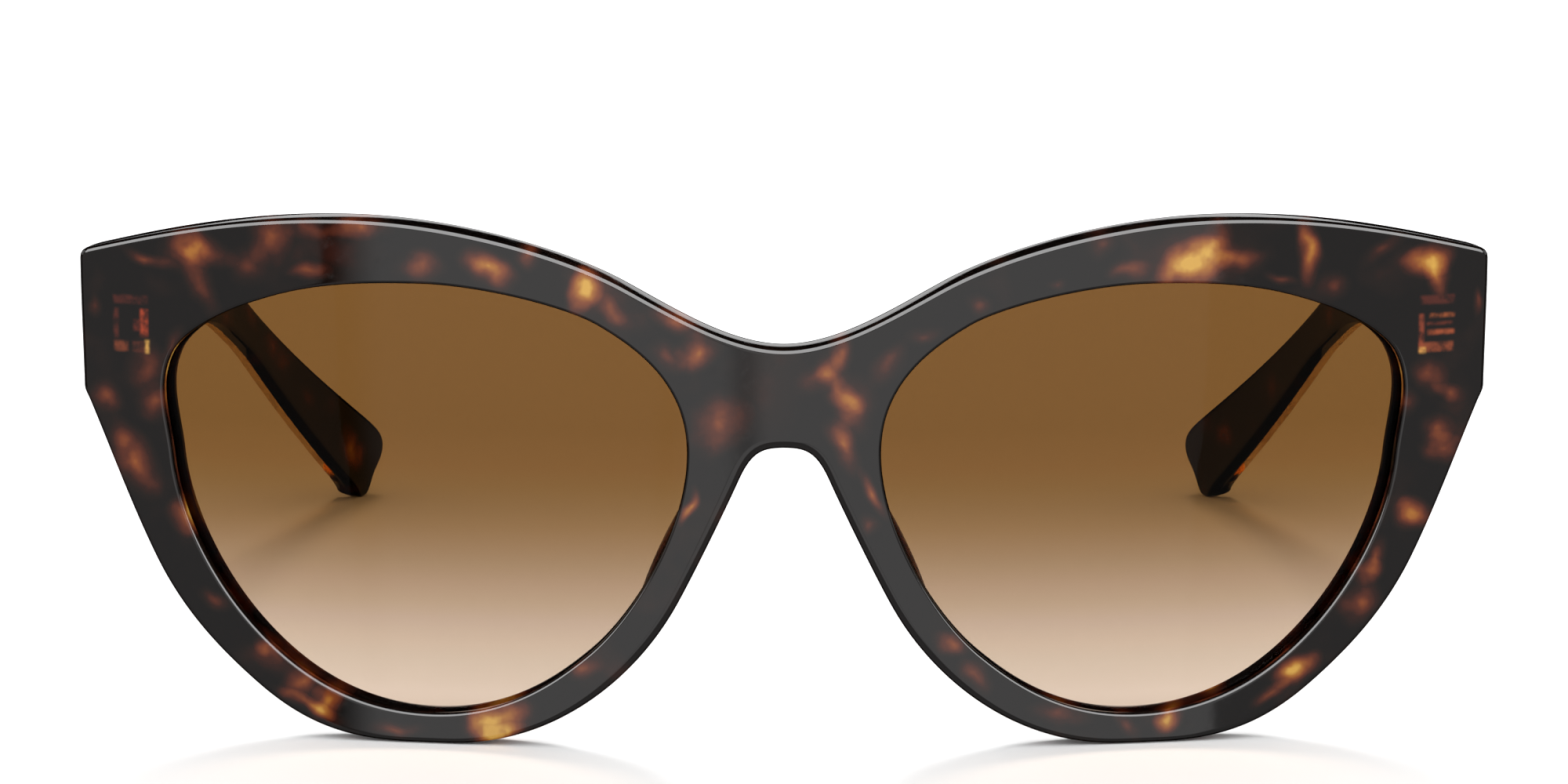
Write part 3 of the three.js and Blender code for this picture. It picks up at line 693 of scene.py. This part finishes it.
def tortoise_material():
    nodes = Nodes("tortoise_acetate")
    place, warped = warped_place(nodes)
    clouds = cloud_field(nodes, warped, [front_cloud(*cloud) for cloud in FRONT_CLOUDS])
    # The clouds, plus painted light on the walls of the lens openings.
    density = nodes.math("ADD", clouds, painted_rim_wall_light(nodes, place))
    # Painted light of the hinge bars goes over the colour.
    colour = painted_hinge_light(nodes, place, tortoise_colour(nodes, density, place))
    return nodes.show(polished(nodes, colour, place))


def temple_material():
    nodes = Nodes("temple_acetate")
    place, warped = warped_place(nodes)
    clouds = [temple_cloud(side, *cloud) for side, row in TEMPLE_CLOUDS.items() for cloud in row]
    density = cloud_field(nodes, warped, clouds)
    return nodes.show(polished(nodes, tortoise_colour(nodes, density, place), place))


def pad_material():
    """Dark at the bottom of the pad, amber above."""
    nodes = Nodes("pad_acetate")
    place = nodes.add("TexCoord").outputs["Object"]
    parts = nodes.add("SeparateXYZ")
    nodes.feed(parts.inputs[0], place)
    upper = nodes.spread(parts.outputs["Z"], 9 * MM, 20 * MM, 0.0, 0.8)
    patches = nodes.spread(nodes.noise(place, 240.0, 2.0), 0.35, 0.65, 0.55, 1.0)
    colour = tortoise_colour(nodes, nodes.math("MULTIPLY", upper, patches), place)
    return nodes.show(polished(nodes, colour, place, 0.12))


# ---- Lenses and clear acetate ----

# What each height of the lens lets through: height in mm, then the colour. The floor behind it is lit
# to almost twice white, so these are darker than the lens looks. Besides the lens's real gradient, the lower
# heights hold painted light: they are made lighter to undo the shade that the front and its lenses cast on
# the floor behind them.
LENS_TINT_AND_PAINTED_LIGHT = [
    (33.0, (97, 67, 33)), (29.0, (102, 71, 37)), (26.9, (105, 76, 42)), (24.9, (110, 82, 50)),
    (22.8, (118, 90, 59)), (20.8, (126, 99, 71)), (18.8, (134, 109, 83)), (16.7, (145, 120, 97)),
    (14.7, (154, 131, 108)), (12.7, (164, 142, 123)), (10.6, (175, 154, 134)), (8.6, (182, 163, 144)),
    (6.5, (191, 172, 154)), (5.0, (199, 180, 163)),
]
LENS_GLOSS = 0.0065                    # share of mirror reflection on the anti-reflection coated faces
CLEAR_GLOSS = 0.05                     # the same on polished clear acetate


def tinted(nodes, tint, gloss_share, roughness, place):
    """See-through with a tint, and a share of clean mirror reflection."""
    clear = nodes.add("BsdfTransparent")
    nodes.feed(clear.inputs["Color"], tint)
    haze = nodes.noise(place, 500.0, 2.0)
    gloss = nodes.add("BsdfGlossy")
    nodes.feed(gloss.inputs["Roughness"], nodes.spread(haze, 0.3, 0.8, roughness, roughness * 1.6))
    mixed = nodes.add("MixShader")
    nodes.feed(mixed.inputs[0], gloss_share)
    nodes.feed(mixed.inputs[1], clear)
    nodes.feed(mixed.inputs[2], gloss)
    return mixed


def lens_material():
    nodes = Nodes("gradient_lens")
    place = nodes.add("TexCoord").outputs["Object"]
    parts = nodes.add("SeparateXYZ")
    nodes.feed(parts.inputs[0], place)
    low, high = LENS_TINT_AND_PAINTED_LIGHT[-1][0] * MM, LENS_TINT_AND_PAINTED_LIGHT[0][0] * MM
    share = nodes.add("MapRange")
    nodes.feed(share.inputs[0], parts.outputs["Z"])
    share.inputs[1].default_value = low
    share.inputs[2].default_value = high
    stops = []
    for height, colour in reversed(LENS_TINT_AND_PAINTED_LIGHT):
        one_face = [math.sqrt(c) for c in linear(*colour)]
        stops.append(((height * MM - low) / (high - low), one_face))
    # The lens's gradient, with painted light in its lower part.
    tint = nodes.ramp(share.outputs[0], stops)
    return nodes.show(tinted(nodes, tint, LENS_GLOSS, 0.02, place))


def clear_material():
    nodes = Nodes("clear_acetate")
    place = nodes.add("TexCoord").outputs["Object"]
    streaks = nodes.add("Mapping", Scale=(1.0, 0.25, 1.0))
    nodes.feed(streaks.inputs["Vector"], place)
    flow = nodes.spread(nodes.noise(streaks.outputs[0], 180.0, 3.0, 0.6), 0.5, 0.75)
    tint = nodes.mix(flow, linear(240, 224, 198), linear(224, 198, 160))
    return nodes.show(tinted(nodes, tint, CLEAR_GLOSS, 0.03, place))


# ---- Metals ----

def metal_material(name, colour, roughness, brushed):
    nodes = Nodes(name)
    place = nodes.add("TexCoord").outputs["Object"]
    lines = nodes.add("Mapping", Scale=(1.0, 1.0, brushed))
    nodes.feed(lines.inputs["Vector"], place)
    grain = nodes.noise(lines.outputs[0], 2200.0, 3.0, 0.6)
    tarnish = nodes.noise(place, 240.0, 2.0)
    darker = tuple(c * 0.78 for c in colour[:3]) + (1.0,)
    shader = nodes.add("BsdfPrincipled", Metallic=1.0)
    nodes.feed(shader.inputs["Base Color"], nodes.mix(nodes.spread(tarnish, 0.4, 0.75), colour, darker))
    nodes.feed(shader.inputs["Roughness"], nodes.spread(grain, 0.3, 0.7, roughness * 0.7, roughness * 1.5))
    nodes.feed(shader.inputs["Normal"], nodes.bump(grain, 0.08, 0.00003))
    return nodes.show(shader)


MATERIALS = {
    "tortoise_acetate": tortoise_material(),
    "temple_acetate": temple_material(),
    "pad_acetate": pad_material(),
    "gradient_lens": lens_material(),
    "clear_acetate": clear_material(),
    "hinge_metal": metal_material("hinge_metal", linear(206, 198, 182), 0.24, 6.0),
    "screw_metal": metal_material("screw_metal", linear(200, 196, 190), 0.2, 1.0),
    "gold_trim": metal_material("gold_trim", linear(222, 184, 112), 0.16, 1.0),
}


def dress(piece, slot_name):
    piece.data.materials.clear()
    piece.data.materials.append(MATERIALS[slot_name])


def add_piece(piece, node, body, slot_name):
    """Dresses a fine piece, hides the CAD node it stands for, and makes it move with its body."""
    dress(piece, slot_name)
    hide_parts(node)
    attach(piece, body)


# ---- The front and its lenses ----

def groove_rim():
    """[depth, inset] levels around a lens opening, with the groove that holds the lens."""
    levels = [(0, -RIM_ROUND - SUPPORT)]
    levels += [(depth, -move) for depth, move in quarter(0, 1, RIM_ROUND)]
    levels += [(GROOVE_FRONT, 0), (GROOVE_FRONT, -GROOVE_DEEP)]
    levels += [(GROOVE_BACK, -GROOVE_DEEP), (GROOVE_BACK, 0)]
    back_round = FRONT_ROUND / 2
    levels += [(depth, -move) for depth, move in quarter(FRONT_THICKNESS, -1, back_round)[::-1]]
    return levels + [(FRONT_THICKNESS, -back_round - SUPPORT)]


def build_front():
    """The plate with its two grooved openings, bent, with a pocket for each hinge leaf."""
    opening = outline(OPENING_KNOTS, FRONT_STEP, True)
    other = [Vector((-p.x, p.y)) for p in opening][::-1]
    edge = crowned_edge(FRONT_THICKNESS, FRONT_ROUND, FRONT_CROWN)
    bm = plate(front_outline(), [opening, other], edge, groove_rim(), rounder_at_the_nose)
    piece = finished_mesh("front_fine", bm, on_front)
    for side in SIDES.values():
        pocket = block(
            FRONT_LEAF["x"] - FRONT_LEAF["width"] / 2 - GAP, FRONT_LEAF["x"] + FRONT_LEAF["width"] / 2 + GAP,
            FRONT_LEAF["y"] - FRONT_LEAF["depth"] / 2 - GAP, FRONT_LEAF["y"] + PAST,
            HINGE.z - FRONT_LEAF["height"] / 2 - GAP, HINGE.z + FRONT_LEAF["height"] / 2 + GAP,
        )
        cut(piece, cutter(pocket, side), "DIFFERENCE")
    add_piece(piece, "front", "front_frame", "tortoise_acetate")


def build_lens(name, side):
    """Rings drawn in towards the lens's middle, domed forward, on both faces."""
    loop = inset(outline(OPENING_KNOTS, LENS_STEP, True), -LENS_OVERLAP)
    middle = sum(loop, Vector((0, 0))) / len(loop)
    bm = bmesh.new()
    near, far = GROOVE_FRONT + GAP, GROOVE_BACK - GAP
    scales = [math.sin(math.pi / 2 * k / LENS_RINGS) for k in range(1, LENS_RINGS + 1)]
    rows = []
    for depth, order in ((near, scales), (far, scales[::-1])):
        for scale in order:
            dome = LENS_CROWN * (1 - scale * scale)
            spots = [middle + (p - middle) * scale for p in loop]
            rows.append([bm.verts.new((p.x, depth - dome, p.y)) for p in spots])
    caps = [bm.verts.new((middle.x, depth - LENS_CROWN, middle.y)) for depth in (near, far)]
    for i in range(len(loop)):
        j = (i + 1) % len(loop)
        for upper, lower in zip(rows, rows[1:]):
            bm.faces.new((upper[i], lower[i], lower[j], upper[j]))
        bm.faces.new((caps[0], rows[0][i], rows[0][j]))
        bm.faces.new((caps[1], rows[-1][j], rows[-1][i]))
    piece = finished_mesh(f"lens_fine_{name}", bm, on_front, side)
    add_piece(piece, f"lens_{name}", "front_frame", "gradient_lens")


def behind_front(clearance, side):
    """A fine upright cylinder of everything behind the front's inner face, less a clearance."""
    bm = bmesh.new()
    radius = FRONT_RADIUS - FRONT_THICKNESS - clearance
    bmesh.ops.create_cone(
        bm, cap_ends=True, segments=CYLINDER_SIDES, radius1=radius, radius2=radius, depth=2 * CYLINDER_HALF,
        matrix=Matrix.Translation((0, FRONT_RADIUS, CYLINDER_MIDDLE)),
    )
    return cutter(bm, side)


def build_nose_pad(name, side):
    """A leaning oval, cut to the curve of the front's inner face."""
    bm = bmesh.new()
    lean = Matrix.Rotation(-math.radians(PAD["lean"]), 4, "Y")
    flare = Matrix.Rotation(-math.radians(PAD["flare"]), 4, "Z")
    size = Matrix.Diagonal((*PAD["size"], 1))
    place = Matrix.Translation((PAD["x"], PAD["y"], PAD["z"])) @ lean @ flare @ size
    bmesh.ops.create_uvsphere(bm, u_segments=PAD_TURNS, v_segments=PAD_RINGS, radius=1, matrix=place)
    piece = finished_mesh(f"nose_pad_fine_{name}", bm, lambda p: p.copy(), side)
    cut(piece, behind_front(BOND, side), "INTERSECT")
    add_piece(piece, f"nose_pad_{name}", "front_frame", "pad_acetate")


# ---- Temples ----

def build_temple(name, side):
    """The dark inner layer, cut to the front's curve, with a recess for the hinge leaf."""
    edge = rounded_edge(0, INNER_LAYER, INNER_ROUND, BONDED_ROUND)
    bm = plate(outline(TEMPLE_KNOTS, TEMPLE_STEP, True), [], edge, [], clear_of_corners)
    piece = finished_mesh(f"temple_fine_{name}", bm, on_temple, side)
    cut(piece, behind_front(BUTT_GAP, side), "INTERSECT")
    half = TEMPLE_LEAF["height"] / 2 + RECESS_GAP
    recess = block(
        HINGE.x - RECESS_DEEP, TEMPLE_LEAF["outer"] + GAP, TEMPLE_START - PAST, TEMPLE_LEAF["end"] + GAP,
        HINGE.z - half, HINGE.z + half,
    )
    cut(piece, cutter(recess, side), "DIFFERENCE")
    add_piece(piece, f"temple_{name}", f"{name}_temple", "temple_acetate")


def outer_slab(low, high, side):
    """The slab between two distances before the tip's corner, square to the tip's heading."""
    bm = block(-FAR, FAR, -high, -low, -FAR, FAR)
    bmesh.ops.rotate(bm, cent=(0, 0, 0), matrix=Matrix.Rotation(TIP_HEADING, 3, "X"), verts=bm.verts)
    bmesh.ops.translate(bm, vec=(0, TIP_CORNER_Y, 0), verts=bm.verts)
    return cutter(bm, side)


OUTER_SLOTS = {
    "temple_sheet": "clear_acetate",
    "trim_ring_upper": "gold_trim",
    "trim_spacer": "clear_acetate",
    "trim_ring_lower": "gold_trim",
    "tip_block": "temple_acetate",
}


def build_outer_pieces(name, side):
    """The clear sheet, the rings with their spacer, and the end block, all cut from one rounded plate."""
    near = INNER_LAYER + BOND
    far = INNER_LAYER + GAP + OUTER_LAYER
    for piece_name, (low, high) in OUTER_CUTS.items():
        edge = [(near, 0)] + quarter(far, -1, OUTER_ROUND)[::-1] + [(far, OUTER_ROUND + SUPPORT)]
        bm = plate(outline(TEMPLE_KNOTS, TEMPLE_STEP, True), [], edge, [], clear_of_corners)
        piece = finished_mesh(f"{piece_name}_fine_{name}", bm, on_temple, side)
        cut(piece, behind_front(BUTT_GAP, side), "INTERSECT")
        cut(piece, outer_slab(low, high, side), "INTERSECT")
        add_piece(piece, f"{piece_name}_{name}", f"{name}_temple", OUTER_SLOTS[piece_name])


build_front()
for side_name, side_sign in SIDES.items():
    build_lens(side_name, side_sign)
    build_nose_pad(side_name, side_sign)
    build_temple(side_name, side_sign)
    build_outer_pieces(side_name, side_sign)

# CAD pieces that stay as they are, with a material of their own.
CARRIED_OVER = {
    "front_hinge": "hinge_metal",
    "temple_hinge": "hinge_metal",
    "hinge_screw": "screw_metal",
    "core_wire": "gold_trim",
}
for node_name, slot_name in CARRIED_OVER.items():
    for side_name in SIDES:
        dress(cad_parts[f"{node_name}_{side_name}"], slot_name)


# ---- Stage: floor, light and what the polished surfaces mirror ----

FADE_FROM_TO = (-0.80, -0.68)          # where the middle card fades out, in metres
LINE_X = -0.062                        # its dark line
LINE_HALF = 0.04
LINE_SHARE = 0.6                       # brightness left in the middle of that line


def card(name, corners, brightness, pattern):
    """A glowing surface that only mirror reflections see. A pattern, if any, varies its brightness."""
    mesh = bpy.data.meshes.new(name)
    mesh.from_pydata(corners, [], [list(range(len(corners)))])
    piece = bpy.data.objects.new(name, mesh)
    bpy.context.scene.collection.objects.link(piece)
    nodes = Nodes(name)
    glow = nodes.add("Emission", Strength=brightness)
    if pattern:
        nodes.feed(glow.inputs["Strength"], nodes.math("MULTIPLY", pattern(nodes), brightness))
    mesh.materials.append(nodes.show(glow))
    nodes.material.cycles.emission_sampling = "NONE"
    piece.visible_camera = False
    piece.visible_diffuse = False
    piece.visible_transmission = False
    piece.visible_volume_scatter = False
    piece.visible_shadow = False


def soft_ended(nodes):
    """Fades out towards the -X end and has a soft dark line near the middle."""
    parts = nodes.add("SeparateXYZ")
    nodes.feed(parts.inputs[0], nodes.add("TexCoord").outputs["Object"])
    fade = nodes.spread(parts.outputs["X"], *FADE_FROM_TO)
    from_line = nodes.math("ABSOLUTE", nodes.math("SUBTRACT", parts.outputs["X"], LINE_X))
    return nodes.math("MULTIPLY", fade, nodes.spread(from_line, 0.0, LINE_HALF, LINE_SHARE, 1.0))


def upright(y, x0, x1, z0, z1):
    return [(x0, y, z0), (x1, y, z0), (x1, y, z1), (x0, y, z1)]


def level(z, x0, x1, y0, y1):
    return [(x0, y0, z), (x1, y0, z), (x1, y1, z), (x0, y1, z)]


# A card's corners in metres and its brightness. The glasses' polish mirrors each one somewhere:
# wide and middle on the front's face, low and rear_low on what faces down, overhead along the upper
# edges, back on the brow's top wall, and the side cards on what faces sideways.
CARDS = {
    "wide_card": (upright(-1.75, -5, 5, -0.8, 0.42), 0.5),
    "low_card": (level(-0.8, -3, 3, -1.75, -0.15), 0.4),
    "rear_low_card": (level(-0.1, -1.5, 1.5, 0.15, 2.5), 0.45),
    "middle_card": (upright(-1.5, -0.81, 0.748, -0.63, 0.34), 1.35),
    "overhead_card": ([(-2.2, -1.4, 0.5), (2.2, -1.4, 0.5), (2.2, -0.15, 1.9), (-2.2, -0.15, 1.9)], 9.0),
    "back_card": (upright(2.2, -0.72, 0.72, 0.27, 0.5), 1.0),
}
SIDE_CARD = [(2.6, -1.0, 0.2), (2.6, 1.6, 0.2), (2.2, 1.6, 1.5), (2.2, -1.0, 1.5)]
SIDE_CARD_BRIGHTNESS = 1.2

FLOOR_HALF = 6.0
FLOOR_COLOUR = (0.92, 0.92, 0.92, 1)
WORLD_STRENGTH = 1.25
LAMP = {"place": (0, 1.3, 1.4), "size": 0.6, "power": 28.0}


def build_floor():
    mesh = bpy.data.meshes.new("floor")
    mesh.from_pydata(level(0, -FLOOR_HALF, FLOOR_HALF, -FLOOR_HALF, FLOOR_HALF), [], [[0, 1, 2, 3]])
    floor = bpy.data.objects.new("floor", mesh)
    bpy.context.scene.collection.objects.link(floor)
    nodes = Nodes("floor")
    mesh.materials.append(nodes.show(nodes.add("BsdfDiffuse", Color=FLOOR_COLOUR)))
    floor.visible_glossy = False


def build_cards():
    for name, (corners, brightness) in CARDS.items():
        card(name, corners, brightness, soft_ended if name == "middle_card" else None)
    for side in SIDES.values():
        card(f"side_card_{side}", [(side * x, y, z) for x, y, z in SIDE_CARD], SIDE_CARD_BRIGHTNESS, None)


def build_world():
    """Even white light from all around, which mirror reflections don't see."""
    world = bpy.data.worlds.new("studio")
    bpy.context.scene.world = world
    world.use_nodes = True
    background = world.node_tree.nodes["Background"]
    background.inputs["Color"].default_value = (1, 1, 1, 1)
    background.inputs["Strength"].default_value = WORLD_STRENGTH
    world.cycles_visibility.glossy = False


def add_lamp():
    """A soft lamp above and behind the glasses, aimed at the middle of their footprint."""
    light = bpy.data.lights.new("back_lamp", "AREA")
    light.shape = "DISK"
    light.size = LAMP["size"]
    light.energy = LAMP["power"]
    lamp = bpy.data.objects.new("back_lamp", light)
    bpy.context.scene.collection.objects.link(lamp)
    lamp.location = LAMP["place"]
    lamp.rotation_euler = (-lamp.location).to_track_quat("-Z", "Y").to_euler()
    lamp.visible_glossy = False
    lamp.visible_camera = False


# The camera looks at this point of the front, in mm, from this far in metres and this far above level.
CAMERA_TARGET = (0, FRONT_Y, 37.498)
CAMERA_DISTANCE = 0.9
CAMERA_PITCH = math.radians(10.526)
CAMERA_LENS, CAMERA_SENSOR = 202.39, 36


def add_camera():
    camera = bpy.data.objects.new("camera", bpy.data.cameras.new("camera"))
    bpy.context.scene.collection.objects.link(camera)
    toward = Vector((0, -math.cos(CAMERA_PITCH), math.sin(CAMERA_PITCH)))
    camera.location = Vector(CAMERA_TARGET) * MM + CAMERA_DISTANCE * toward
    camera.rotation_euler = (math.pi / 2 - CAMERA_PITCH, 0, 0)
    camera.data.sensor_width = CAMERA_SENSOR
    camera.data.lens = CAMERA_LENS
    camera.data.clip_start = 0.01
    bpy.context.scene.camera = camera


add_camera()
build_floor()
build_cards()
build_world()
add_lamp()
bpy.context.scene.view_settings.view_transform = "Standard"
